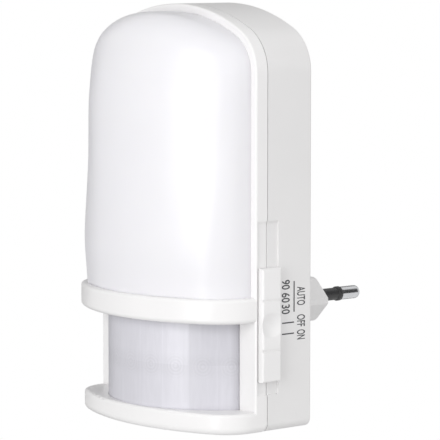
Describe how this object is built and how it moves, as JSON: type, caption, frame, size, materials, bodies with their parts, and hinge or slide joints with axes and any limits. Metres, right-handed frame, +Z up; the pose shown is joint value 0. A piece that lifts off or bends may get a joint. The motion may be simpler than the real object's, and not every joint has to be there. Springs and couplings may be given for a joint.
{
  "type": "plug-in night light",
  "caption": "White plug-in night light with an arched opal diffuser, a curved motion sensor window, a slide switch for its timer and round plug pins at the back",
  "frame": {"origin": "middle of the plug's engagement face, between the two pins", "axes": "+X to the side with the slide switch, +Y out of the plug's face into the socket, +Z up along the length of the housing"},
  "size_m": [0.0728, 0.0853, 0.122],
  "materials": {
    "white_abs": "smooth moulded",
    "opal_acrylic": "glossy moulded",
    "milky_polyethylene": "moulded with fine lens rings",
    "black_sleeve": "satin moulded",
    "nickel_plated_brass": "plated and polished",
    "carrier_plastic": "moulded",
    "circuit_board": "solder mask",
    "component_black": "moulded epoxy",
    "component_blue": "heat-shrink sleeve",
    "film_capacitor_red": "dipped epoxy",
    "sensor_can_steel": "nickel plated",
    "infrared_filter": "coated silicon",
    "tinned_wire": "tinned",
    "led_package": "phosphor in white resin",
    "screw_steel": "zinc plated",
    "switch_steel": "tinned steel",
    "lead_insulation": "extruded insulation",
    "photocell_resin": "clear resin over a film"
  },
  "bodies": {
    "housing": {"rear_housing": "white_abs", "front_frame": "white_abs", "diffuser": "opal_acrylic", "sensor_lens": "milky_polyethylene", "lens_retainers": "white_abs", "switch_shell": "switch_steel", "switch_base": "component_black", "switch_terminals": "tinned_wire", "main_board": "circuit_board", "board_screws": "screw_steel", "sensor_spacer": "component_black", "sensor_can": "sensor_can_steel", "sensor_filter": "infrared_filter", "sensor_leads": "tinned_wire", "photocell": "photocell_resin", "film_capacitor": "film_capacitor_red", "electrolytic_capacitors": "component_blue", "bridge_rectifier": "component_black", "fuse_resistor": "component_blue", "control_chip": "component_black", "chip_resistors": "component_black", "reflector_tray": "white_abs", "led_board": "circuit_board", "led_chips": "led_package", "led_screws": "screw_steel", "link_header": "component_black", "link_pins": "tinned_wire", "contact_pins": "nickel_plated_brass", "pin_sleeves": "black_sleeve", "pin_carrier": "carrier_plastic", "supply_leads": "lead_insulation", "housing_screws": "screw_steel"},
    "slider": {"slider_knob": "white_abs", "switch_lever": "component_black"}
  },
  "joints": [
    {"name": "mode_slide", "type": "slide", "parent": "housing", "child": "slider", "axis": [0, 0, 1], "range_m": [-0.0035, 0.0105]}
  ]
}
